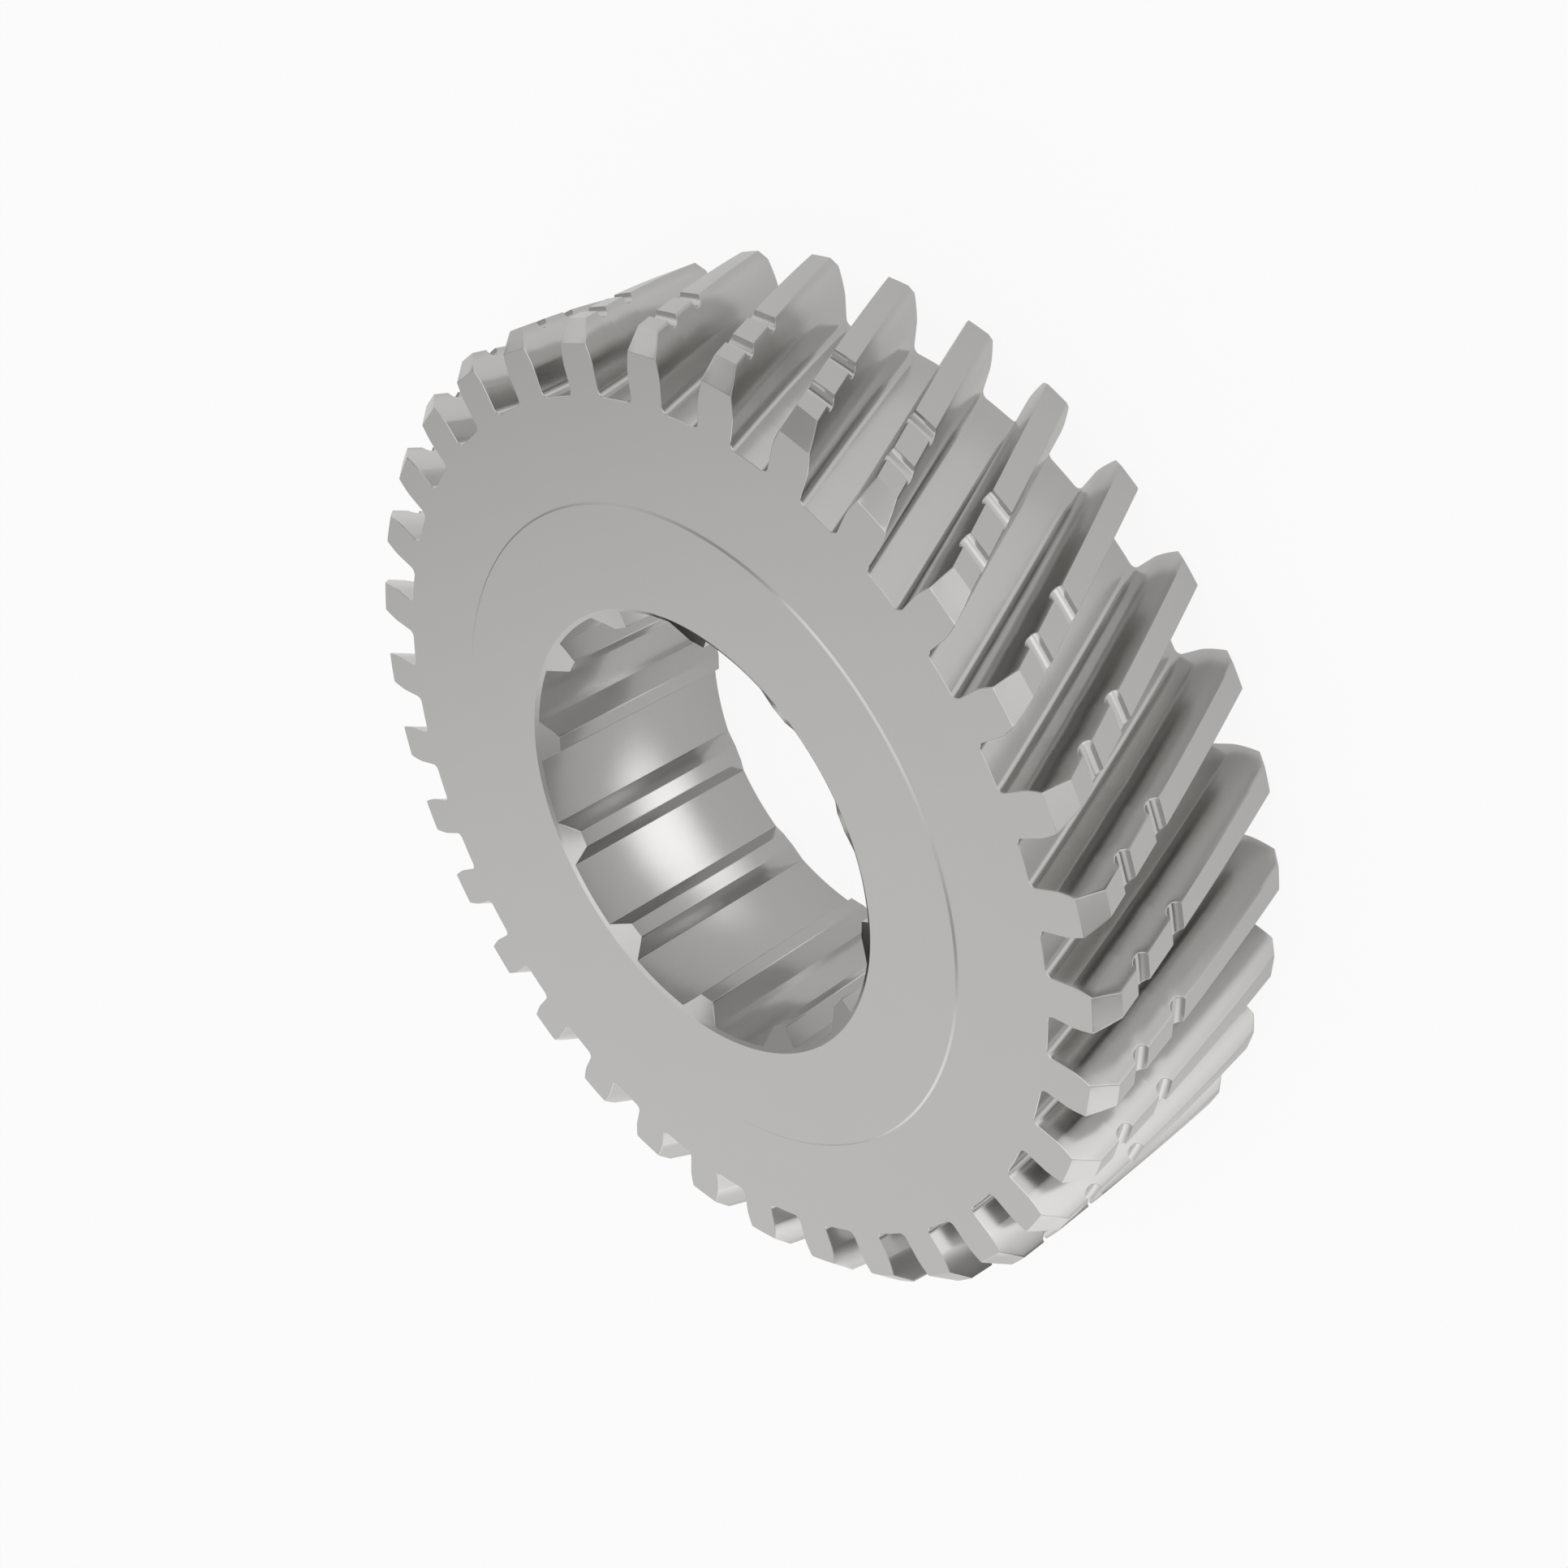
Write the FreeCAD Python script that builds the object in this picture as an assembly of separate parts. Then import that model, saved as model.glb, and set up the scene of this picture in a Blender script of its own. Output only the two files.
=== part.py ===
import FreeCAD, Part
import math
import os

# One-piece left-hand helical gear with a splined bore, lying on its flat rear face.
# The origin is on the gear's axis in the plane of the rear face, +Z points to the front face.
# All lengths are in millimetres and all angles in degrees unless a name says otherwise.

# Toothing, with the depths measured down from the tips
TOOTH_COUNT = 33
NORMAL_MODULE = 2.5
HELIX_ANGLE = 24.5
TIP_DIAMETER = 95.0
TOOTH_DEPTH = 6.15
INVOLUTE_DEPTH = 3.6
TOOTH_THICKNESS_AT_BASE = 4.0
ROOT_CORNER_SIZE = 0.6

# Blank
FACE_WIDTH = 23.5
FRONT_TIP_CHAMFER = 1.65
REAR_TIP_CHAMFER = 1.0
HUB_FACE_DIAMETER = 63.5
HUB_FACE_HEIGHT = 0.15
HUB_EDGE_WIDTH = 0.2

# Two narrow grooves turned around the tips of the teeth, placed by their middles
GROOVE_WIDTH = 1.5
GROOVE_FLOOR_WIDTH = 0.7
GROOVE_DEPTH = 0.65
FRONT_GROOVE_BELOW_FACE = 4.4
REAR_GROOVE_BELOW_FACE = 9.0

# Splined bore
SPLINE_COUNT = 12
SPLINE_MINOR_DIAMETER = 40.0
SPLINE_MAJOR_DIAMETER = 43.6
SPLINE_WIDTH_AT_MINOR = 1.65
SPLINE_WIDTH_AT_MAJOR = 4.6
BORE_CHAMFER_DIAMETER = 44.4
BORE_CHAMFER_HALF_ANGLE = 60.0

# Extra reach given to the cutting shapes so they pass clear of the blank
CUTTER_OVERRUN = 1.0

# Curves that make up each involute and turned outlines along each tooth space
INVOLUTE_SPANS = 3
HELIX_SECTIONS = 3

AXIS_POINT = FreeCAD.Vector(0, 0, 0)
AXIS_DIRECTION = FreeCAD.Vector(0, 0, 1)

# Values that follow from the dimensions above
tip_radius = TIP_DIAMETER / 2
root_radius = tip_radius - TOOTH_DEPTH
base_radius = tip_radius - INVOLUTE_DEPTH
front_height = FACE_WIDTH + HUB_FACE_HEIGHT
reference_diameter = TOOTH_COUNT * NORMAL_MODULE / math.cos(math.radians(HELIX_ANGLE))
lead = math.pi * reference_diameter / math.tan(math.radians(HELIX_ANGLE))
half_tooth_pitch = math.pi / TOOTH_COUNT
half_space_at_base = half_tooth_pitch - TOOTH_THICKNESS_AT_BASE / (2 * base_radius)
half_spline_pitch = math.pi / SPLINE_COUNT


def polar(radius, angle, height=0.0):
    """Point at a radius and an angle in radians around the gear's axis."""
    return FreeCAD.Vector(radius * math.cos(angle), radius * math.sin(angle), height)


def line(start, end):
    """Straight edge between two points."""
    return Part.LineSegment(start, end).toShape()


def arc(start, middle, end):
    """Round edge through three points."""
    return Part.Arc(start, middle, end).toShape()


def bend(start, start_angle, end, end_angle):
    """Smooth edge that leaves its start and meets its end in the given directions."""
    leaving = polar(1, start_angle)
    meeting = polar(1, end_angle)
    reach = (end - start).cross(meeting).z / leaving.cross(meeting).z
    curve = Part.BezierCurve()
    curve.setPoles([start, start + leaving * reach, end])
    return curve.toShape()


def section_point(radius, height):
    """Point of the blank's half section in the XZ plane."""
    return FreeCAD.Vector(radius, 0, height)


def groove_points(height):
    """Corners of a tip groove in the blank's half section, walked upwards."""
    floor_radius = tip_radius - GROOVE_DEPTH
    return [
        section_point(tip_radius, height - GROOVE_WIDTH / 2),
        section_point(floor_radius, height - GROOVE_FLOOR_WIDTH / 2),
        section_point(floor_radius, height + GROOVE_FLOOR_WIDTH / 2),
        section_point(tip_radius, height + GROOVE_WIDTH / 2),
    ]


def make_blank():
    """Turned ring with its tip chamfers, tip grooves, hub face and bore chamfers."""
    minor_radius = SPLINE_MINOR_DIAMETER / 2
    chamfer_radius = BORE_CHAMFER_DIAMETER / 2
    hub_radius = HUB_FACE_DIAMETER / 2
    chamfer_depth = (chamfer_radius - minor_radius) / math.tan(math.radians(BORE_CHAMFER_HALF_ANGLE))
    corners = [
        section_point(chamfer_radius, 0),
        section_point(tip_radius - REAR_TIP_CHAMFER, 0),
        section_point(tip_radius, REAR_TIP_CHAMFER),
        *groove_points(FACE_WIDTH - REAR_GROOVE_BELOW_FACE),
        *groove_points(FACE_WIDTH - FRONT_GROOVE_BELOW_FACE),
        section_point(tip_radius, FACE_WIDTH - FRONT_TIP_CHAMFER),
        section_point(tip_radius - FRONT_TIP_CHAMFER, FACE_WIDTH),
        section_point(hub_radius + HUB_EDGE_WIDTH, FACE_WIDTH),
        section_point(hub_radius, front_height),
        section_point(chamfer_radius, front_height),
        section_point(minor_radius, front_height - chamfer_depth),
        section_point(minor_radius, chamfer_depth),
        section_point(chamfer_radius, 0),
    ]
    section = Part.Face(Part.makePolygon(corners))
    return section.revolve(AXIS_POINT, AXIS_DIRECTION, 360)


def flank_point(roll, side):
    """Point of a tooth space's involute, reached by unrolling a line by this angle."""
    radius = base_radius * math.sqrt(1 + roll * roll)
    angle = half_space_at_base + roll - math.atan(roll)
    return polar(radius, side * angle)


def tooth_space_wire():
    """Outline between two teeth: involute flanks, radial feet, root corners and the root."""
    outer_radius = tip_radius + CUTTER_OVERRUN
    last_roll = math.sqrt((outer_radius / base_radius) ** 2 - 1)
    rolls = [last_roll * i / INVOLUTE_SPANS for i in range(INVOLUTE_SPANS + 1)]
    corner_radius = root_radius + ROOT_CORNER_SIZE
    corner_angle = half_space_at_base - ROOT_CORNER_SIZE / root_radius
    edges = []
    for side in (1, -1):
        for low, high in zip(rolls, rolls[1:]):
            start = flank_point(low, side)
            end = flank_point(high, side)
            start_angle = side * (half_space_at_base + low)
            end_angle = side * (half_space_at_base + high)
            edges.append(bend(start, start_angle, end, end_angle))
        foot_end = polar(corner_radius, side * half_space_at_base)
        edges.append(line(flank_point(0, side), foot_end))
        edges.append(line(foot_end, polar(root_radius, side * corner_angle)))
    quarter = math.pi / 2
    root_start = polar(root_radius, -corner_angle)
    root_end = polar(root_radius, corner_angle)
    edges.append(bend(root_start, quarter - corner_angle, root_end, quarter + corner_angle))
    edges.append(line(flank_point(last_roll, -1), flank_point(last_roll, 1)))
    return Part.Wire(Part.__sortEdges__(edges))


def make_tooth_space():
    """Tooth space lofted through turned outlines, which follow the left-hand helix from face to face."""
    outlines = []
    for index in range(HELIX_SECTIONS):
        level = FACE_WIDTH * index / (HELIX_SECTIONS - 1)
        turn = 360.0 * (FACE_WIDTH / 2 - level) / lead
        outline = tooth_space_wire()
        outline.translate(FreeCAD.Vector(0, 0, level))
        outline.rotate(AXIS_POINT, AXIS_DIRECTION, 180.0 / TOOTH_COUNT + turn)
        outlines.append(outline)
    return Part.makeLoft(outlines, True, False)


def make_spline_space():
    """Straight groove between two spline teeth of the bore, with its two slanted sides."""
    minor_radius = SPLINE_MINOR_DIAMETER / 2
    major_radius = SPLINE_MAJOR_DIAMETER / 2
    minor_angle = half_spline_pitch - math.asin(SPLINE_WIDTH_AT_MINOR / 2 / minor_radius)
    major_angle = half_spline_pitch - math.asin(SPLINE_WIDTH_AT_MAJOR / 2 / major_radius)
    bottom = -CUTTER_OVERRUN
    edges = [arc(polar(major_radius, -major_angle), polar(major_radius, 0), polar(major_radius, major_angle))]
    inner = []
    for side in (1, -1):
        outer_point = polar(major_radius, side * major_angle)
        edge_point = polar(minor_radius, side * minor_angle)
        slant = (edge_point - outer_point).normalize()
        inner_point = edge_point + slant * CUTTER_OVERRUN
        edges.append(line(outer_point, inner_point))
        inner.append(inner_point)
    edges.append(line(inner[0], inner[1]))
    outline = Part.Face(Part.Wire(Part.__sortEdges__(edges)))
    outline.translate(FreeCAD.Vector(0, 0, bottom))
    return outline.extrude(FreeCAD.Vector(0, 0, front_height + 2 * CUTTER_OVERRUN))


def around_axis(shape, count):
    """Copies of a shape spread evenly around the gear's axis."""
    copies = []
    for index in range(count):
        turned = shape.copy()
        turned.rotate(AXIS_POINT, AXIS_DIRECTION, 360.0 * index / count)
        copies.append(turned)
    return copies


def make_gear():
    """Blank with every tooth space and every spline space cut away."""
    splined = make_blank().cut(around_axis(make_spline_space(), SPLINE_COUNT))
    return splined.cut(around_axis(make_tooth_space(), TOOTH_COUNT))


os.makedirs("parts", exist_ok=True)
gear = make_gear()
gear = gear.Solids[0]
print("helical_gear valid", gear.isValid(), "faces", len(gear.Faces), "volume", round(gear.Volume, 1))
gear.exportStep("parts/helical_gear.step")
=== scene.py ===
"""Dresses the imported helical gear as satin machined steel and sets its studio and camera."""

import logging
import math
from dataclasses import dataclass
from enum import Enum
from typing import Any

import bmesh
import bpy
import numpy as np
from mathutils import Matrix, Vector

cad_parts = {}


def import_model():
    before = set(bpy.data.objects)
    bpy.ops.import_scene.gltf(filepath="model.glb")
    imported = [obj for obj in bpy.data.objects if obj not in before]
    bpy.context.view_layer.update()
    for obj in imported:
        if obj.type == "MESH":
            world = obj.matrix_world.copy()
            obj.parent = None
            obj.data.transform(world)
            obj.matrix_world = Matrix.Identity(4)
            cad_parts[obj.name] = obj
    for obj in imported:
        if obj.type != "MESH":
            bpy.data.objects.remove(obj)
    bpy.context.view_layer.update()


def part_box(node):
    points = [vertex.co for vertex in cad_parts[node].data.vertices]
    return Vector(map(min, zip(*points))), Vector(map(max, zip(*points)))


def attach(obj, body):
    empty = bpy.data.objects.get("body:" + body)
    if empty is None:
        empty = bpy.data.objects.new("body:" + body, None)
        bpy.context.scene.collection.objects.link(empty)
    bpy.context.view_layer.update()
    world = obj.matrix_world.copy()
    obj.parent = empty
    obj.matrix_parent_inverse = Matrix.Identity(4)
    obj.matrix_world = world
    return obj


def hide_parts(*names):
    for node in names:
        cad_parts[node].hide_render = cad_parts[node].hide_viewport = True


LOG = logging.getLogger("gear_scene")
MM = 0.001
NODE = "helical_gear"
Colour = tuple[float, float, float]
WHITE: Colour = (1.0, 1.0, 1.0)
MIX_FIRST_COLOUR = 6
MIX_SECOND_COLOUR = 7
MIX_RESULT_COLOUR = 2
SHADER_SHARE = 0
FIRST_SHADER = 1
SECOND_SHADER = 2
MERGE_DISTANCE = 1e-7


class Ray(Enum):
    """Kinds of ray that a surface or the world can tell apart."""

    CAMERA = "Is Camera Ray"
    GLOSSY = "Is Glossy Ray"
    TRANSMISSION = "Is Transmission Ray"


class Graph:
    """A node tree that nodes are added to."""

    def __init__(self, tree: bpy.types.NodeTree) -> None:
        """Takes the node tree of a material or a world and empties it."""
        self.tree = tree
        tree.nodes.clear()

    def node(
        self,
        kind: str,
        settings: dict[str, Any] | None = None,
        inputs: dict[str | int, Any] | None = None,
    ) -> bpy.types.Node:
        """Adds one node.

        Args:
            kind: The node's type, such as ShaderNodeMath.
            settings: Properties of the node, set before its sockets.
            inputs: A value, a Value or an output socket for each socket's name or number.

        Returns:
            The new node.
        """
        made = self.tree.nodes.new(kind)
        for name, setting in (settings or {}).items():
            setattr(made, name, setting)
        for key, given in (inputs or {}).items():
            socket = made.inputs[key]
            if isinstance(given, Value):
                self.tree.links.new(given.socket, socket)
            elif isinstance(given, bpy.types.NodeSocket):
                self.tree.links.new(given, socket)
            else:
                socket.default_value = given
        return made

    def value(self, socket: bpy.types.NodeSocket) -> "Value":
        """Wraps an output socket for use in expressions."""
        return Value(self, socket)

    def math(self, operation: str, *terms: "Value | float") -> "Value":
        """Adds a Math node with this operation and one to three inputs, and gives its result."""
        made = self.node("ShaderNodeMath", {"operation": operation}, dict(enumerate(terms)))
        return self.value(made.outputs[0])

    def blend(self, share: "Value", first: Colour, second: Colour) -> bpy.types.NodeSocket:
        """Adds a Mix node for two colours.

        Args:
            share: 0 for the first colour, 1 for the second.
            first: Red, green and blue.
            second: Red, green and blue.

        Returns:
            The mixed colour's socket.
        """
        made = self.node(
            "ShaderNodeMix",
            {"data_type": "RGBA"},
            {"Factor": share, MIX_FIRST_COLOUR: (*first, 1.0), MIX_SECOND_COLOUR: (*second, 1.0)},
        )
        return made.outputs[MIX_RESULT_COLOUR]

    def greater(self, first: "Value", second: "Value") -> "Value":
        """The greater of two numbers."""
        return self.math("MAXIMUM", first, second)

    def soft_step(self, term: "Value", low: float, high: float) -> "Value":
        """Rises smoothly from 0 where term is low to 1 where it is high.

        Args:
            term: The number that is followed.
            low: Where the step starts.
            high: Where it ends.

        Returns:
            The step as a number from 0 to 1.
        """
        made = self.node(
            "ShaderNodeMapRange",
            {"interpolation_type": "SMOOTHSTEP"},
            {"Value": term, "From Min": low, "From Max": high},
        )
        return self.value(made.outputs["Result"])

    def shown_to(self, *rays: Ray) -> "Value":
        """Tells whether the present ray is one of some kinds.

        Args:
            rays: The kinds of ray.

        Returns:
            1 for these rays and 0 for the others.
        """
        path = self.node("ShaderNodeLightPath")
        found = self.value(path.outputs[rays[0].value])
        for ray in rays[1:]:
            found = self.greater(found, self.value(path.outputs[ray.value]))
        return found


class Value:
    """A number in a node tree that can be used in Python expressions."""

    def __init__(self, graph: Graph, socket: bpy.types.NodeSocket) -> None:
        """Wraps the output socket of the graph's tree that gives the number."""
        self.graph = graph
        self.socket = socket

    def __add__(self, other: "Value | float") -> "Value":
        """Sum."""
        return self.graph.math("ADD", self, other)

    def __radd__(self, other: float) -> "Value":
        """Sum with a plain number on the left."""
        return self.graph.math("ADD", other, self)

    def __sub__(self, other: "Value | float") -> "Value":
        """Difference."""
        return self.graph.math("SUBTRACT", self, other)

    def __rsub__(self, other: float) -> "Value":
        """Difference with a plain number on the left."""
        return self.graph.math("SUBTRACT", other, self)

    def __mul__(self, other: "Value | float") -> "Value":
        """Product."""
        return self.graph.math("MULTIPLY", self, other)

    def __rmul__(self, other: float) -> "Value":
        """Product with a plain number on the left."""
        return self.graph.math("MULTIPLY", other, self)


@dataclass(frozen=True)
class MachinedSteel:
    """Bright satin steel with turning marks on the turned faces and smooth ground flanks; the flanks get a
    lighter colour as painted light.
    """

    colour: Colour = (0.56, 0.555, 0.545)
    # Painted light: a lighter steel colour for the flanks and roots, lifting the shade that falls between the
    # teeth.
    flank_painted_light_colour: Colour = (0.64, 0.633, 0.62)
    turned_roughness: float = 0.22
    land_roughness: float = 0.2
    flank_roughness: float = 0.2
    bore_roughness: float = 0.15
    cloud_size: float = 6.0 * MM
    cloud_depth: float = 0.06
    cloud_detail: float = 3.0
    cloud_contrast: float = 0.55
    mark_pitch: float = 0.28 * MM
    mark_height: float = 0.0012 * MM
    mark_detail: float = 2.0
    mark_contrast: float = 0.6
    face_reach: float = 0.03 * MM
    cone_reach: float = 0.05 * MM
    bore_reach: float = 0.05 * MM
    land_reach: float = 1.0 * MM
    land_edge: float = 0.04 * MM
    even_edge: float = 0.01 * MM

    def material(self, gear: "GearForm") -> bpy.types.Material:
        """Makes the gear's one material, whose roughness and marks follow the machined surfaces.

        Args:
            gear: The gear, for the radii and heights that part its surfaces.

        Returns:
            The material.
        """
        made = bpy.data.materials.new("satin_machined_steel")
        made.use_nodes = True
        graph = Graph(made.node_tree)
        place = graph.node("ShaderNodeTexCoord").outputs["Object"]
        parts = graph.node("ShaderNodeSeparateXYZ", inputs={"Vector": place})
        x, y, z = (graph.value(parts.outputs[name]) for name in "XYZ")
        radius = graph.math("SQRT", x * x + y * y)
        on_face = self._on_face(graph, gear, z)
        on_land = graph.soft_step(radius, gear.tip_radius - self.land_reach, gear.tip_radius - self.land_edge)
        mouth = gear.bore.chamfer_radius
        in_bore = 1.0 - graph.soft_step(radius, mouth, mouth + self.bore_reach)
        rough = self.flank_roughness + on_land * (self.land_roughness - self.flank_roughness)
        rough = rough + in_bore * (self.bore_roughness - self.flank_roughness)
        rough = rough + on_face * (1.0 - in_bore) * (self.turned_roughness - rough)
        clouds = graph.node(
            "ShaderNodeTexNoise",
            {"noise_dimensions": "3D"},
            {
                "Vector": place,
                "Scale": 1.0 / self.cloud_size,
                "Detail": self.cloud_detail,
                "Roughness": self.cloud_contrast,
            },
        )
        rough = rough + (graph.value(clouds.outputs["Fac"]) - 0.5) * self.cloud_depth
        on_cone = self._on_cone(graph, gear, radius, z)
        # Painted light: the flanks and roots, outside the lands, chamfers, faces and bore, take the lighter
        # colour that lifts the shade between the teeth.
        painted_light_flanks = (1.0 - on_land) * (1.0 - on_cone) * (1.0 - on_face) * (1.0 - in_bore)
        marks = self._marks(graph, radius, on_face) + self._marks(graph, z, on_land)
        bump = graph.node(
            "ShaderNodeBump",
            inputs={"Strength": 1.0, "Distance": self.mark_height, "Height": marks},
        )
        shader = graph.node(
            "ShaderNodeBsdfPrincipled",
            inputs={
                "Base Color": graph.blend(painted_light_flanks, self.colour, self.flank_painted_light_colour),
                "Metallic": 1.0,
                "Roughness": rough,
                "Normal": bump.outputs["Normal"],
            },
        )
        graph.node("ShaderNodeOutputMaterial", inputs={"Surface": shader.outputs["BSDF"]})
        return made

    def _on_face(self, graph: Graph, gear: "GearForm", z: Value) -> Value:
        """Finds the two flat ends by height.

        Args:
            graph: The material's graph.
            gear: The gear.
            z: Height, in metres.

        Returns:
            1 on the front and rear faces and 0 between them.
        """
        front = gear.face_width
        on_front = graph.soft_step(z, front - self.face_reach, front - self.even_edge)
        on_rear = 1.0 - graph.soft_step(z, self.even_edge, self.face_reach)
        return graph.greater(on_front, on_rear)

    def _on_cone(self, graph: Graph, gear: "GearForm", radius: Value, z: Value) -> Value:
        """Finds the 45 degree tip chamfers, where radius + z or radius - z is at its greatest.

        Args:
            graph: The material's graph.
            gear: The gear.
            radius: Distance from the axis, in metres.
            z: Height, in metres.

        Returns:
            1 on the two chamfers and 0 off them.
        """
        front = gear.tip_radius + gear.face_width - gear.teeth.front_chamfer
        rear = gear.tip_radius - gear.teeth.rear_chamfer
        on_front = graph.soft_step(radius + z, front - self.cone_reach, front - 2 * self.even_edge)
        on_rear = graph.soft_step(radius - z, rear - self.cone_reach, rear - 2 * self.even_edge)
        return graph.greater(on_front, on_rear)

    def _marks(self, graph: Graph, along: Value, mask: Value) -> Value:
        """Uneven turning marks, a one-way noise of (place along the tool's feed) / pitch.

        Args:
            graph: The material's graph.
            along: Place along the tool's feed, in metres.
            mask: Where these marks are.

        Returns:
            Height of the marks from 0 to 1.
        """
        noise = graph.node(
            "ShaderNodeTexNoise",
            {"noise_dimensions": "1D"},
            {
                "W": along,
                "Scale": 1.0 / self.mark_pitch,
                "Detail": self.mark_detail,
                "Roughness": self.mark_contrast,
            },
        )
        return graph.value(noise.outputs["Fac"]) * mask


@dataclass(frozen=True)
class StudioWhite:
    """Matt white floor paint that looks an even white and keeps the gear's soft shadow."""

    colour: Colour = (0.9, 0.9, 0.9)
    even_for_camera: float = 0.9
    even_for_reflections: float = 0.38

    def material(self) -> bpy.types.Material:
        """Makes the floor's material.

        Returns:
            White paint, with an even white mixed in for camera, glossy and transmission rays.
        """
        made = bpy.data.materials.new("studio_white")
        made.use_nodes = True
        graph = Graph(made.node_tree)
        paint = graph.node("ShaderNodeBsdfDiffuse", inputs={"Color": (*self.colour, 1.0)})
        even = graph.node("ShaderNodeEmission", inputs={"Color": (*WHITE, 1.0), "Strength": 1.0})
        reflected = graph.shown_to(Ray.GLOSSY, Ray.TRANSMISSION) * self.even_for_reflections
        share = graph.greater(graph.shown_to(Ray.CAMERA) * self.even_for_camera, reflected)
        mixed = graph.node(
            "ShaderNodeMixShader",
            inputs={
                SHADER_SHARE: share,
                FIRST_SHADER: paint.outputs["BSDF"],
                SECOND_SHADER: even.outputs["Emission"],
            },
        )
        graph.node("ShaderNodeOutputMaterial", inputs={"Surface": mixed.outputs["Shader"]})
        return made


class Skin:
    """Closed skin of loops of points, each joined to the next by faces that point outwards."""

    def __init__(self) -> None:
        """Starts an empty skin."""
        self.points: list[np.ndarray] = []
        self.quads: list[np.ndarray] = []
        self.triangles: list[np.ndarray] = []
        self.total = 0

    def add(self, loops: np.ndarray) -> np.ndarray:
        """Adds loops that have the same number of points and joins each to the next.

        Args:
            loops: Points as an array of (loop, point, 3), counter-clockwise seen from +Z.

        Returns:
            The points' numbers as an array of (loop, point).
        """
        numbers = self.total + np.arange(loops.shape[0] * loops.shape[1]).reshape(loops.shape[:2])
        self.points.append(loops.reshape(-1, 3))
        self.total += numbers.size
        for first, second in zip(numbers, numbers[1:]):
            self.join(first, second)
        return numbers

    def join(self, first: np.ndarray, second: np.ndarray) -> None:
        """Joins two loops, given as the numbers of equally many points, with quads."""
        self.quads.append(np.stack([first, np.roll(first, -1), np.roll(second, -1), second], axis=1))

    def zip(self, first: np.ndarray, second: np.ndarray) -> None:
        """Joins two flat loops of different numbers of points with triangles.

        Every segment of either loop makes one triangle. In the order of the segments' middle angles, a
        segment's third corner is the point that the other loop has reached.

        Args:
            first: Numbers of one loop's points.
            second: Numbers of the next loop's points.
        """
        first, first_middles = self._by_angle(first)
        second, second_middles = self._by_angle(second)
        order = np.argsort(np.concatenate([first_middles, second_middles]), kind="stable")
        from_first = order < len(first)
        reached_first = np.cumsum(from_first) - from_first
        reached_second = np.cumsum(~from_first) - ~from_first
        here = first[reached_first % len(first)]
        there = second[reached_second % len(second)]
        next_here = first[(reached_first + 1) % len(first)]
        next_there = second[(reached_second + 1) % len(second)]
        middle = np.where(from_first, next_here, next_there)
        self.triangles.append(np.stack([here, middle, there], axis=1))

    def _by_angle(self, loop: np.ndarray) -> tuple[np.ndarray, np.ndarray]:
        """Starts a loop at its smallest angle.

        Args:
            loop: Numbers of the loop's points.

        Returns:
            The turned loop and the middle angle of each of its segments.
        """
        points = np.concatenate(self.points)[loop]
        angles = np.arctan2(points[:, 1], points[:, 0]) % (2 * np.pi)
        start = int(np.argmin(angles))
        angles = np.roll(angles, -start)
        after = np.append(angles[1:], angles[0] + 2 * np.pi)
        return np.roll(loop, -start), (angles + after) / 2

    def piece(self, name: str, crease: float) -> bpy.types.Object:
        """Makes the skin an object.

        Args:
            name: The object's name.
            crease: Angle in radians from which an edge stays sharp.

        Returns:
            The object, linked into the scene.
        """
        mesh = bpy.data.meshes.new(name)
        faces = [face for group in (*self.quads, *self.triangles) for face in group.tolist()]
        mesh.from_pydata(np.concatenate(self.points).tolist(), [], faces)
        draft = bmesh.new()
        draft.from_mesh(mesh)
        bmesh.ops.remove_doubles(draft, verts=draft.verts, dist=MERGE_DISTANCE)
        draft.to_mesh(mesh)
        draft.free()
        mesh.shade_smooth()
        mesh.set_sharp_from_angle(angle=crease)
        mesh.validate()
        made = bpy.data.objects.new(name, mesh)
        bpy.context.scene.collection.objects.link(made)
        weigh = made.modifiers.new("even_flats", "WEIGHTED_NORMAL")
        weigh.keep_sharp = True
        return made


def polar_points(radii: np.ndarray, angles: np.ndarray, heights: np.ndarray) -> np.ndarray:
    """Points (r cos a, r sin a, z).

    Args:
        radii: Radii r, in metres.
        angles: Angles a, in radians.
        heights: Heights z, in metres.

    Returns:
        The points, with a last axis of length 3.
    """
    radii, angles, heights = np.broadcast_arrays(radii, angles, heights)
    return np.stack([radii * np.cos(angles), radii * np.sin(angles), heights], axis=-1)


def circle(radius: float, height: float, count: int) -> np.ndarray:
    """Evenly spread points of a circle around the axis.

    Args:
        radius: The circle's radius, in metres.
        height: Its height, in metres.
        count: Number of points.

    Returns:
        One loop as an array of (1, count, 3).
    """
    return polar_points(np.array([radius]), 2 * np.pi * np.arange(count) / count, np.array([height]))[None]


def rounded_corner(before: np.ndarray, corner: np.ndarray, after: np.ndarray, steps: int) -> np.ndarray:
    """Curve (1 - t)^2 before + 2 t (1 - t) corner + t^2 after, for t from 0 to 1.

    Args:
        before: Where the curve starts, as (level, 2).
        corner: The sharp corner, as (level, 2).
        after: Where the curve ends, as (level, 2).
        steps: Number of segments.

    Returns:
        Its points as (level, steps + 1, 2).
    """
    t = np.linspace(0.0, 1.0, steps + 1)[None, :, None]
    return (1 - t) ** 2 * before[:, None] + 2 * t * (1 - t) * corner[:, None] + t**2 * after[:, None]


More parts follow.
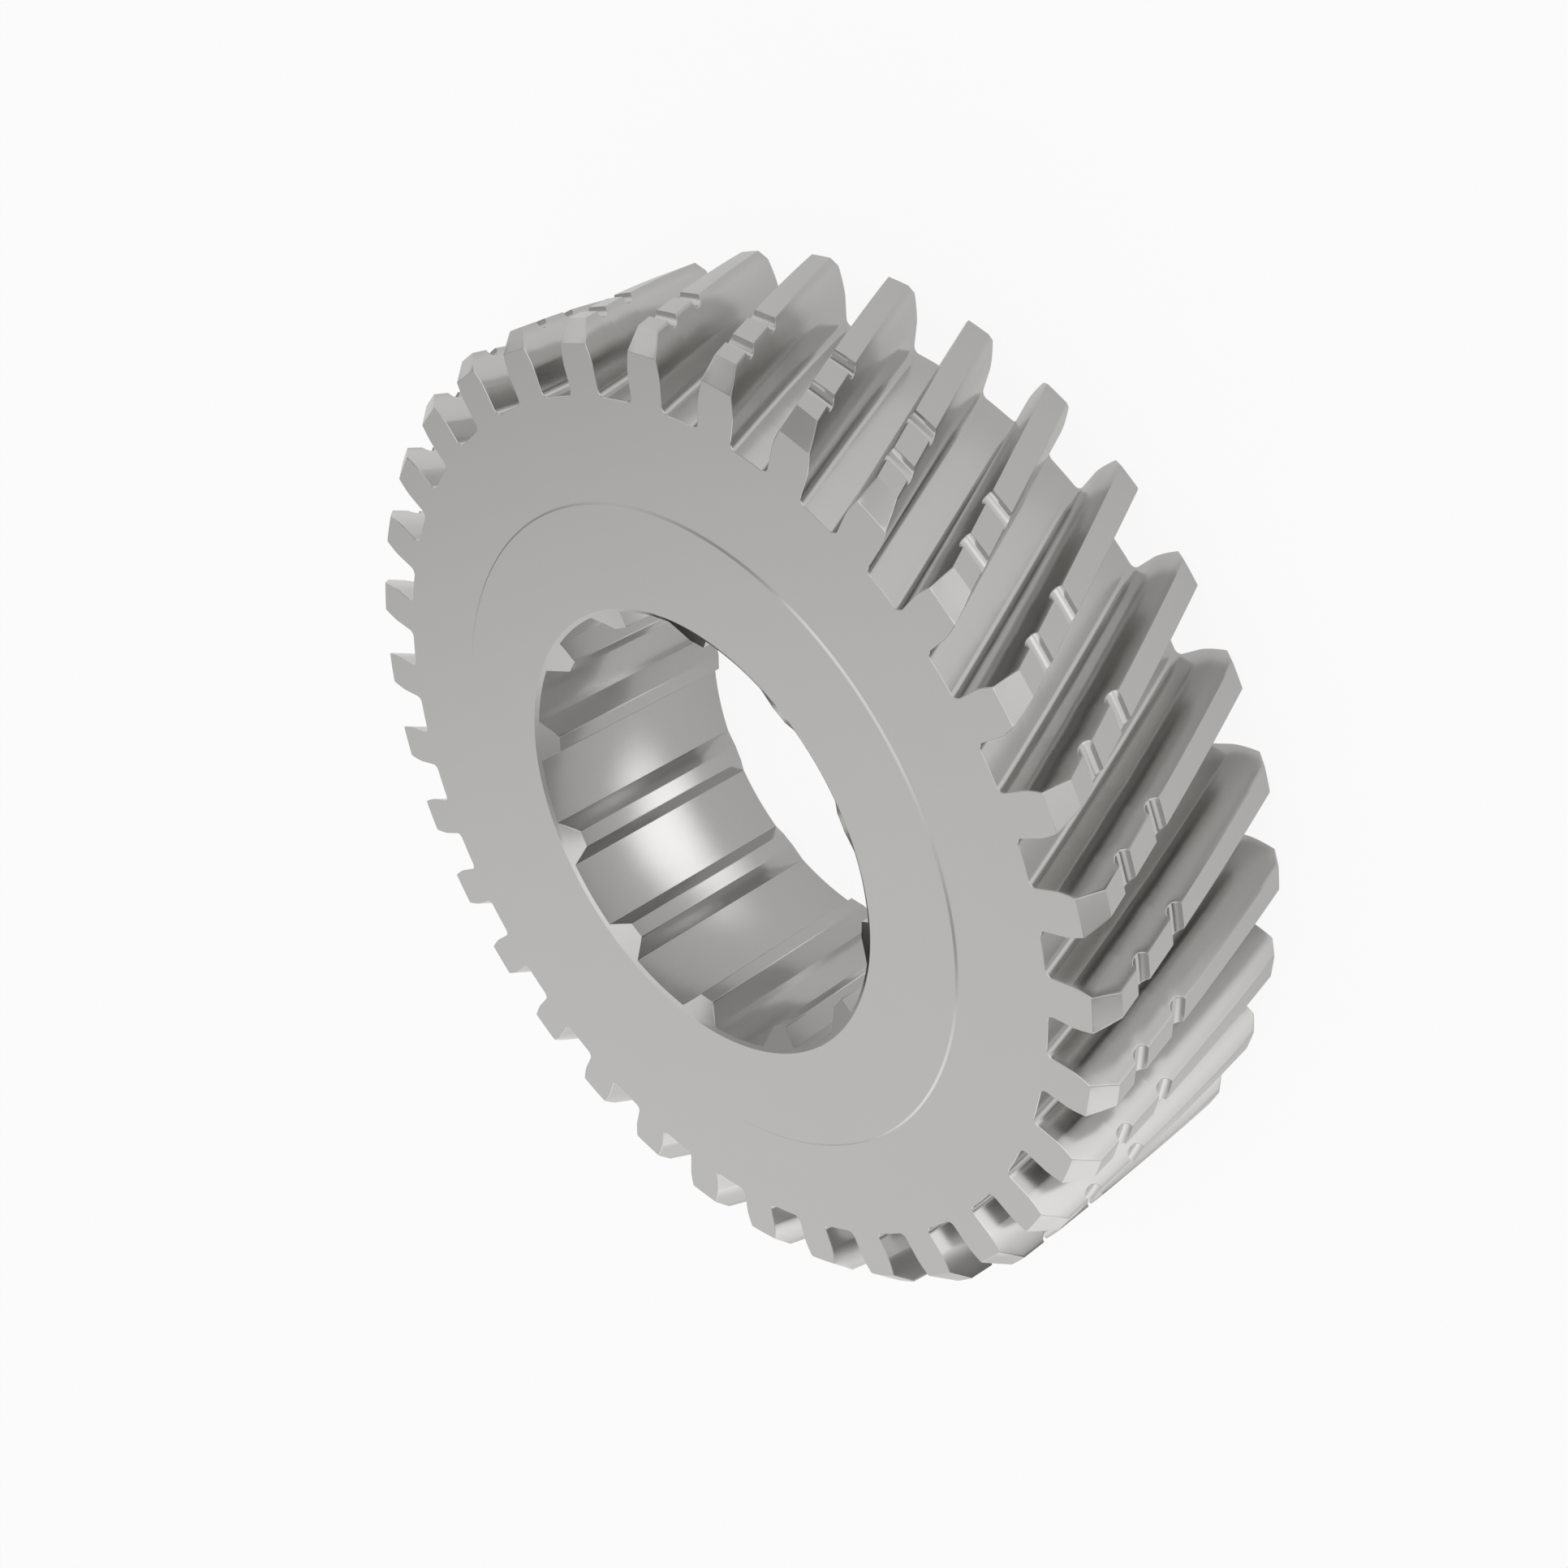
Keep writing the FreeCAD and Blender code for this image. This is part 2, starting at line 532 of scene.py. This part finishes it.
def around(half: np.ndarray, count: int, first_angle: np.ndarray) -> np.ndarray:
    """Mirrors half an outline and repeats it around the axis.

    Args:
        half: Radius and angle of the outline's points from a tooth's middle line to the middle of a
            space, as (level, point, 2).
        count: Number of teeth.
        first_angle: Angle of the first tooth's middle line at each level, in radians.

    Returns:
        Radius and angle of the full loops, as (level, point, 2).
    """
    mirrored = half[:, :0:-1] * np.array([1.0, -1.0])
    pitch = np.concatenate([mirrored, half[:, :-1]], axis=1)
    turns = 2 * np.pi * np.arange(count) / count
    radii = np.tile(pitch[:, :, 0], (1, count))
    angles = (turns[None, :, None] + pitch[:, None, :, 1]).reshape(len(pitch), -1) + first_angle[:, None]
    return np.stack([radii, angles], axis=-1)


@dataclass
class ToothRing:
    """Left-hand helical teeth on the turned blank, with tip chamfers and two turned tip grooves."""

    tip_radius: float
    face_width: float
    tooth_count: int = 33
    normal_module: float = 2.5 * MM
    helix_angle: float = math.radians(24.5)
    root_radius: float = 41.35 * MM
    base_radius: float = 43.9 * MM
    thickness_at_base: float = 4.0 * MM
    root_fillet: float = 0.6 * MM
    front_chamfer: float = 1.65 * MM
    rear_chamfer: float = 1.0 * MM
    groove_radius: float = 0.75 * MM
    groove_depths_from_face: tuple[float, float] = (9.0 * MM, 4.4 * MM)
    edge_break: float = 0.06 * MM
    face_edge_break: float = 0.045 * MM
    ring_below_root: float = 0.35 * MM
    even_flank_radius: float = 45.6 * MM
    groove_levels: int = 11
    plain_levels: int = 6
    edge_steps: int = 3
    flank_points: int = 7
    fillet_points: int = 7
    land_shares: tuple[float, ...] = (0.0, 0.5, 0.92)
    free_flank_shares: tuple[float, ...] = (0.12, 0.5)
    foot_shares: tuple[float, ...] = (0.5, 0.94)
    root_shares: tuple[float, ...] = (0.06, 0.5, 1.0)

    @property
    def lead(self) -> float:
        """Height of one full turn of the helix, pi d / tan(helix angle)."""
        diameter = self.tooth_count * self.normal_module / math.cos(self.helix_angle)
        return math.pi * diameter / math.tan(self.helix_angle)

    def turn(self, heights: np.ndarray) -> np.ndarray:
        """Left-hand turn of the teeth at heights z in metres, (z_middle - z) 2 pi / lead, in radians."""
        return (self.face_width / 2 - heights) * 2 * np.pi / self.lead

    def turned_radius(self, heights: np.ndarray) -> np.ndarray:
        """Radius of the turned blank, the least of tip radius, chamfer cones and half-round grooves.

        Args:
            heights: Heights, in metres.

        Returns:
            Radii, in metres.
        """
        radius = np.minimum(self.tip_radius, self.tip_radius - self.rear_chamfer + heights)
        top = self.face_width - self.front_chamfer
        radius = np.minimum(radius, self.tip_radius - (heights - top))
        for depth in self.groove_depths_from_face:
            across = heights - (self.face_width - depth)
            cut = np.sqrt(np.clip(self.groove_radius**2 - across**2, 0.0, None))
            radius = np.minimum(radius, self.tip_radius - cut)
        return radius

    def levels(self) -> np.ndarray:
        """Heights of the outline's copies, close together where the blank curves.

        Returns:
            Heights from the rear to the front face, in metres.
        """
        grooves = []
        for depth in self.groove_depths_from_face:
            middle = self.face_width - depth
            swing = np.linspace(0.0, np.pi, self.groove_levels)
            grooves.append(middle - self.groove_radius * np.cos(swing))
        below = float(grooves[0][0])
        top = self.face_width - self.front_chamfer
        rear = np.array([self.rear_chamfer / 2])
        plain = np.linspace(self.rear_chamfer, below, self.plain_levels)[:-1]
        front = np.array([top, top + self.front_chamfer / 2])
        return np.concatenate([rear, plain, *grooves, front])

    def half_outline(self, limit: np.ndarray) -> np.ndarray:
        """Half a tooth and half a space, from the tooth's middle line to the root's middle.

        The involute at radius r stands at half_thickness - (t - atan t), with t = sqrt((r / base)^2 - 1).
        The foot is radial, the fillet is a quarter circle, and the root follows its circle.

        Args:
            limit: The blank's turned radius at each level, in metres.

        Returns:
            Radius and angle of the points, as (level, point, 2).
        """
        half_base = self.thickness_at_base / (2 * self.base_radius)
        root_reach = self.root_radius + self.root_fillet
        fillet_angle = half_base + math.asin(self.root_fillet / root_reach)
        foot_radius = math.sqrt(root_reach**2 - self.root_fillet**2)

        def flank_angle(radii: np.ndarray) -> np.ndarray:
            """Angle of the involute at some radii."""
            roll = np.sqrt(np.clip((radii / self.base_radius) ** 2 - 1, 0.0, None))
            return half_base - (roll - np.arctan(roll))

        edge_angle = flank_angle(limit)
        land = edge_angle - self.edge_break / limit
        below = limit - self.edge_break
        before = np.stack([limit, land], axis=-1)
        corner = np.stack([limit, edge_angle], axis=-1)
        after = np.stack([below, flank_angle(below)], axis=-1)
        land_angles = land[:, None] * np.array(self.land_shares)
        land_points = np.stack(np.broadcast_arrays(limit[:, None], land_angles), axis=-1)
        inner_roll = math.sqrt((self.even_flank_radius / self.base_radius) ** 2 - 1)
        rolls = np.linspace(inner_roll, 0.0, self.flank_points)
        even_radii = self.base_radius * np.sqrt(1 + rolls**2)
        free_radii = below[:, None] + (even_radii[0] - below[:, None]) * np.array(self.free_flank_shares)
        flank_radii = np.concatenate([free_radii, np.tile(even_radii, (len(limit), 1))], axis=1)
        flank_points = np.stack([flank_radii, flank_angle(flank_radii)], axis=-1)
        foot_radii = self.base_radius + (foot_radius - self.base_radius) * np.array(self.foot_shares)
        foot_points = np.stack([foot_radii, np.full(len(foot_radii), half_base)], axis=-1)
        swing = np.linspace(half_base - np.pi / 2, fillet_angle - np.pi, self.fillet_points)
        fillet_x = root_reach * math.cos(fillet_angle) + self.root_fillet * np.cos(swing)
        fillet_y = root_reach * math.sin(fillet_angle) + self.root_fillet * np.sin(swing)
        fillet_points = np.stack([np.hypot(fillet_x, fillet_y), np.arctan2(fillet_y, fillet_x)], axis=-1)
        root_angles = fillet_angle + (np.pi / self.tooth_count - fillet_angle) * np.array(self.root_shares)
        root_points = np.stack([np.full(len(root_angles), self.root_radius), root_angles], axis=-1)
        below_flank = np.concatenate([foot_points, fillet_points, root_points])
        below_flank = np.broadcast_to(below_flank, (len(limit), *below_flank.shape))
        broken_edge = rounded_corner(before, corner, after, self.edge_steps)
        return np.concatenate([land_points, broken_edge, flank_points, below_flank], axis=1)

    def loops(self) -> np.ndarray:
        """Loops around the teeth from the rear face to the front face, with broken edges at both.

        Returns:
            Points as (level, point, 3).
        """
        levels = self.levels()
        top = self.face_width
        heights = np.array([0.0, self.face_edge_break, *levels, top - self.face_edge_break, top])
        insets = np.zeros(len(heights))
        insets[[0, -1]] = self.face_edge_break
        outline = around(self.half_outline(self.turned_radius(heights)), self.tooth_count, self.turn(heights))
        points = polar_points(outline[..., 0], outline[..., 1], heights[:, None])
        along = np.roll(points, -1, axis=1) - np.roll(points, 1, axis=1)
        outward = np.stack([along[..., 1], -along[..., 0], np.zeros(along.shape[:2])], axis=-1)
        outward /= np.linalg.norm(outward, axis=-1, keepdims=True)
        return points - outward * insets[:, None, None]

    def inner_ring(self, height: float) -> np.ndarray:
        """Circle just below the roots, its points paired with the outline's.

        Below a root a point keeps the outline's angle, and below a tooth the points are spread evenly.

        Args:
            height: Height of the circle, in metres.

        Returns:
            One loop as (1, point, 3).
        """
        heights = np.array([height])
        half = self.half_outline(self.turned_radius(heights))
        angles = half[0, :, 1]
        root_count = len(self.root_shares)
        foot_angle = angles[-root_count - 1]
        tooth_angles = np.linspace(0.0, foot_angle, len(angles) - root_count)
        spread = np.concatenate([tooth_angles, angles[-root_count:]])
        radii = np.full(len(spread), self.root_radius - self.ring_below_root)
        outline = around(np.stack([radii, spread], axis=-1)[None], self.tooth_count, self.turn(heights))
        return polar_points(outline[..., 0], outline[..., 1], heights[:, None])


@dataclass
class SplinedBore:
    """Bore with straight spline teeth, opened by a wide cone at both ends."""

    spline_count: int = 12
    minor_radius: float = 20.0 * MM
    major_radius: float = 21.8 * MM
    width_at_minor: float = 1.65 * MM
    width_at_major: float = 4.6 * MM
    chamfer_radius: float = 22.2 * MM
    chamfer_half_angle: float = math.radians(60.0)
    edge_break: float = 0.05 * MM
    edge_break_share: float = 0.3
    edge_steps: int = 3
    cone_levels: int = 5
    plain_levels: int = 7
    land_shares: tuple[float, ...] = (0.0, 0.5, 0.92)
    side_shares: tuple[float, ...] = (0.06, 0.5, 0.94, 1.0)
    space_shares: tuple[float, ...] = (0.03, 0.2, 0.4, 0.6, 0.8, 1.0)

    def cone_depth(self, radius: float) -> float:
        """Depth below the end face at which the cone has this radius."""
        return (self.chamfer_radius - radius) / math.tan(self.chamfer_half_angle)

    def half_outline(self, limit: np.ndarray) -> np.ndarray:
        """Half a spline tooth and half a space, from the tooth's middle line to the space's middle.

        The side is the line from K at the major radius to M at the minor one. It reaches the radius L
        where the square of K + s (M - K) is L^2.

        Args:
            limit: Radius of the spline teeth's tips at each level, in metres.

        Returns:
            Radius and angle of the points, as (level, point, 2).
        """
        major_angle = math.asin(self.width_at_major / 2 / self.major_radius)
        minor_angle = math.asin(self.width_at_minor / 2 / self.minor_radius)
        foot = self.major_radius * np.array([math.cos(major_angle), math.sin(major_angle)])
        tip = self.minor_radius * np.array([math.cos(minor_angle), math.sin(minor_angle)])
        slant = tip - foot
        squared = float(slant @ slant)
        across = float(foot @ slant)
        reach = -across - np.sqrt(across**2 - squared * (self.major_radius**2 - limit**2))
        edge = foot + slant * (reach / squared)[:, None]
        edge_break = np.minimum(self.edge_break, self.edge_break_share * (self.major_radius - limit))
        edge_angle = np.arctan2(edge[:, 1], edge[:, 0])
        land = edge_angle - edge_break / limit
        before = polar_points(limit, land, 0.0)[:, :2]
        after = edge + (foot - edge) / math.sqrt(squared) * edge_break[:, None]
        broken = rounded_corner(before, edge, after, self.edge_steps)
        land_angles = land[:, None] * np.array(self.land_shares)
        land_points = polar_points(limit[:, None], land_angles, 0.0)[..., :2]
        side_points = after[:, None] + (foot - after)[:, None] * np.array(self.side_shares)[:, None]
        space_angles = major_angle + (np.pi / self.spline_count - major_angle) * np.array(self.space_shares)
        space_points = polar_points(self.major_radius, space_angles, 0.0)[:, :2]
        space_points = np.broadcast_to(space_points, (len(limit), *space_points.shape))
        flat = np.concatenate([land_points, broken, side_points, space_points], axis=1)
        x, y = flat[..., 0], flat[..., 1]
        return np.stack([np.hypot(x, y), np.arctan2(y, x)], axis=-1)

    def loops(self, height: float) -> np.ndarray:
        """Loops down the bore, the tips of the spline teeth following the cones at both ends.

        Args:
            height: Height of the front end of the bore, in metres.

        Returns:
            Points as (level, point, 3).
        """
        tips = np.linspace(self.major_radius, self.minor_radius, self.cone_levels)
        depths = self.cone_depth(tips)
        middle = np.linspace(height - depths[-1], depths[-1], self.plain_levels)[1:-1]
        heights = np.concatenate([height - depths, middle, depths[::-1]])
        limits = np.concatenate([tips, np.full(len(middle), self.minor_radius), tips[::-1]])
        first_angle = np.full(len(heights), np.pi / self.spline_count)
        outline = around(self.half_outline(limits), self.spline_count, first_angle)
        return polar_points(outline[..., 0], outline[..., 1], heights[:, None])


@dataclass
class GearForm:
    """The whole gear: tooth ring, flat faces, raised hub face and splined bore."""

    tip_radius: float
    height: float
    hub_radius: float = 31.75 * MM
    hub_height: float = 0.15 * MM
    hub_edge_width: float = 0.2 * MM
    crease: float = math.radians(20.0)

    def __post_init__(self) -> None:
        """Sizes the tooth ring and the bore from the gear's own size."""
        self.face_width = self.height - self.hub_height
        self.teeth = ToothRing(self.tip_radius, self.face_width)
        self.bore = SplinedBore()

    @classmethod
    def from_frame(cls) -> "GearForm":
        """The gear's form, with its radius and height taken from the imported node."""
        low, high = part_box(NODE)
        return cls(tip_radius=(high.x - low.x) / 2, height=high.z - low.z)

    def build(self) -> bpy.types.Object:
        """Builds the gear's skin, up the teeth, in over the front face, down the bore and out again.

        Returns:
            The gear as one object.
        """
        skin = Skin()
        outside = skin.add(self.teeth.loops())
        front_ring = skin.add(self.teeth.inner_ring(self.face_width))[0]
        bore_loops = self.bore.loops(self.height)
        count = bore_loops.shape[1]
        hub_outer = circle(self.hub_radius + self.hub_edge_width, self.face_width, count)
        hub_inner = circle(self.hub_radius, self.height, count)
        mouth = circle(self.bore.chamfer_radius, self.height, count)
        rear_mouth = circle(self.bore.chamfer_radius, 0.0, count)
        inside = skin.add(np.concatenate([hub_outer, hub_inner, mouth, bore_loops, rear_mouth]))
        rear_ring = skin.add(self.teeth.inner_ring(0.0))[0]
        skin.join(outside[-1], front_ring)
        skin.zip(front_ring, inside[0])
        skin.zip(inside[-1], rear_ring)
        skin.join(rear_ring, outside[0])
        return skin.piece("steel_gear", self.crease)


@dataclass(frozen=True)
class SoftLamp:
    """Square studio lamp with a soft face, aimed at the gear."""

    azimuth: float
    elevation: float
    distance: float
    width: float
    power: float

    def place(self, name: str, target: Vector) -> bpy.types.Object:
        """Adds the lamp.

        Args:
            name: The lamp's name.
            target: The point that the lamp faces.

        Returns:
            The lamp's object.
        """
        light = bpy.data.lights.new(name, "AREA")
        light.shape = "SQUARE"
        light.size = self.width
        light.energy = self.power
        made = bpy.data.objects.new(name, light)
        bpy.context.scene.collection.objects.link(made)
        away = direction(self.azimuth, self.elevation)
        made.location = target + away * self.distance
        made.rotation_euler = away.to_track_quat("Z", "Y").to_euler()
        return made


@dataclass(frozen=True)
class DownLight:
    """Narrow soft-edged lamp straight above a place on the floor, which it makes brighter."""

    x: float
    y: float
    height: float
    pool_radius: float
    power: float
    lamp_radius: float = 2.0 * MM

    def place(self, name: str) -> bpy.types.Object:
        """Adds the lamp, pointing straight down.

        Args:
            name: The lamp's name.

        Returns:
            The lamp's object.
        """
        light = bpy.data.lights.new(name, "SPOT")
        light.spot_size = 2 * math.atan(self.pool_radius / self.height)
        light.spot_blend = 1.0
        light.shadow_soft_size = self.lamp_radius
        light.energy = self.power
        made = bpy.data.objects.new(name, light)
        bpy.context.scene.collection.objects.link(made)
        made.location = (self.x, self.y, self.height)
        return made


def direction(azimuth: float, elevation: float) -> Vector:
    """Unit vector (cos e cos a, cos e sin a, sin e).

    Args:
        azimuth: Angle a around +Z from +X, in degrees.
        elevation: Angle e above the ground, in degrees.

    Returns:
        The direction.
    """
    a, e = math.radians(azimuth), math.radians(elevation)
    return Vector((math.cos(e) * math.cos(a), math.cos(e) * math.sin(a), math.sin(e)))


@dataclass(frozen=True)
class SkyPatch:
    """Round soft part of the studio's walls that is lighter or darker than the rest."""

    azimuth: float
    elevation: float
    spread: float
    gain: float

    def brightness(self, graph: Graph, looking: bpy.types.NodeSocket) -> Value:
        """Gain times a smooth step of the cosine between the two directions.

        Args:
            graph: The world's graph.
            looking: The direction that is looked in.

        Returns:
            What the patch adds to the sky's brightness.
        """
        towards = tuple(direction(self.azimuth, self.elevation))
        cosine = graph.node("ShaderNodeVectorMath", {"operation": "DOT_PRODUCT"}, {0: looking, 1: towards})
        closeness = graph.value(cosine.outputs["Value"])
        return graph.soft_step(closeness, math.cos(math.radians(self.spread)), 1.0) * self.gain


@dataclass(frozen=True)
class Studio:
    """White floor, soft walls with lighter and darker parts, one large soft lamp and a bore light."""

    floor_radius: float = 3.0
    floor_points: int = 96
    wall_brightness: float = 0.32
    even_for_reflections: float = 0.15
    patches: tuple[SkyPatch, ...] = (
        SkyPatch(azimuth=228.0, elevation=30.0, spread=42.0, gain=0.5),
        SkyPatch(azimuth=25.0, elevation=52.0, spread=52.0, gain=0.6),
        SkyPatch(azimuth=40.0, elevation=8.0, spread=45.0, gain=0.65),
        SkyPatch(azimuth=132.0, elevation=8.0, spread=36.0, gain=0.55),
        SkyPatch(azimuth=282.0, elevation=8.0, spread=45.0, gain=0.95),
        SkyPatch(azimuth=98.0, elevation=4.0, spread=26.0, gain=-0.3),
        SkyPatch(azimuth=335.0, elevation=4.0, spread=32.0, gain=-0.28),
    )
    key_lamp: SoftLamp = SoftLamp(azimuth=120.0, elevation=80.0, distance=1.0, width=0.8, power=1.0)
    bore_light: DownLight = DownLight(x=-0.5 * MM, y=-1.8 * MM, height=0.5, pool_radius=9.5 * MM, power=18.0)

    def build(self, target: Vector) -> None:
        """Adds the floor, the two lamps and the walls.

        Args:
            target: The middle of the gear.
        """
        self._floor()
        self.key_lamp.place("key_lamp", target)
        self.bore_light.place("bore_light")
        self._walls()

    def _floor(self) -> None:
        """Adds the round white floor under the gear."""
        rim = circle(self.floor_radius, 0.0, self.floor_points)[0]
        mesh = bpy.data.meshes.new("floor")
        mesh.from_pydata(rim.tolist(), [], [list(range(self.floor_points))])
        floor = bpy.data.objects.new("floor", mesh)
        bpy.context.scene.collection.objects.link(floor)
        mesh.materials.append(StudioWhite().material())

    def _walls(self) -> None:
        """Lights the scene from all round, with the patches added to an even level.

        The camera sees an even white backdrop, and reflections see some of it too.
        """
        world = bpy.data.worlds.new("studio_walls")
        bpy.context.scene.world = world
        world.use_nodes = True
        graph = Graph(world.node_tree)
        looking = graph.node("ShaderNodeTexCoord").outputs["Generated"]
        brightness: Value | float = self.wall_brightness
        for patch in self.patches:
            brightness = brightness + patch.brightness(graph, looking)
        reflected = graph.shown_to(Ray.GLOSSY, Ray.TRANSMISSION) * self.even_for_reflections
        share = graph.greater(graph.shown_to(Ray.CAMERA), reflected)
        shown = brightness + share * (1.0 - brightness)
        sky = graph.node("ShaderNodeBackground", inputs={"Color": (*WHITE, 1.0), "Strength": shown})
        graph.node("ShaderNodeOutputWorld", inputs={"Surface": sky.outputs["Background"]})


@dataclass(frozen=True)
class Viewpoint:
    """The photograph's camera: its direction, roll, distance and lens."""

    azimuth: float = 29.95
    elevation: float = 35.19
    roll: float = 120.0
    distance: float = 0.2046
    lens: float = 50.0
    sensor: float = 36.0
    nearest: float = 0.01
    farthest: float = 20.0

    def place(self, target: Vector) -> bpy.types.Object:
        """Adds the camera and makes it the scene's camera.

        Args:
            target: The point in the middle of the picture.

        Returns:
            The camera's object.
        """
        away = direction(self.azimuth, self.elevation)
        level = Vector((-away.y, away.x, 0.0)).normalized()
        upright = away.cross(level)
        turn = math.radians(self.roll)
        right = math.cos(turn) * level - math.sin(turn) * upright
        up = math.sin(turn) * level + math.cos(turn) * upright
        data = bpy.data.cameras.new("camera")
        data.lens = self.lens
        data.sensor_width = self.sensor
        data.clip_start = self.nearest
        data.clip_end = self.farthest
        made = bpy.data.objects.new("camera", data)
        bpy.context.scene.collection.objects.link(made)
        turned = Matrix((right, up, away)).transposed().to_4x4()
        made.matrix_world = Matrix.Translation(target + away * self.distance) @ turned
        bpy.context.scene.camera = made
        return made


def main() -> None:
    """Builds the gear, the studio and the camera in order."""
    logging.basicConfig(level=logging.INFO, format="%(message)s")
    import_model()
    form = GearForm.from_frame()
    gear = form.build()
    gear.data.materials.append(MachinedSteel().material(form))
    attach(gear, "root")
    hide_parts(NODE)
    LOG.info("%s: %d points, %d faces", gear.name, len(gear.data.vertices), len(gear.data.polygons))
    target = Vector((0.0, 0.0, form.height / 2))
    Studio().build(target)
    Viewpoint().place(target)
    bpy.context.scene.view_settings.view_transform = "Standard"


if __name__ == "__main__":
    main()
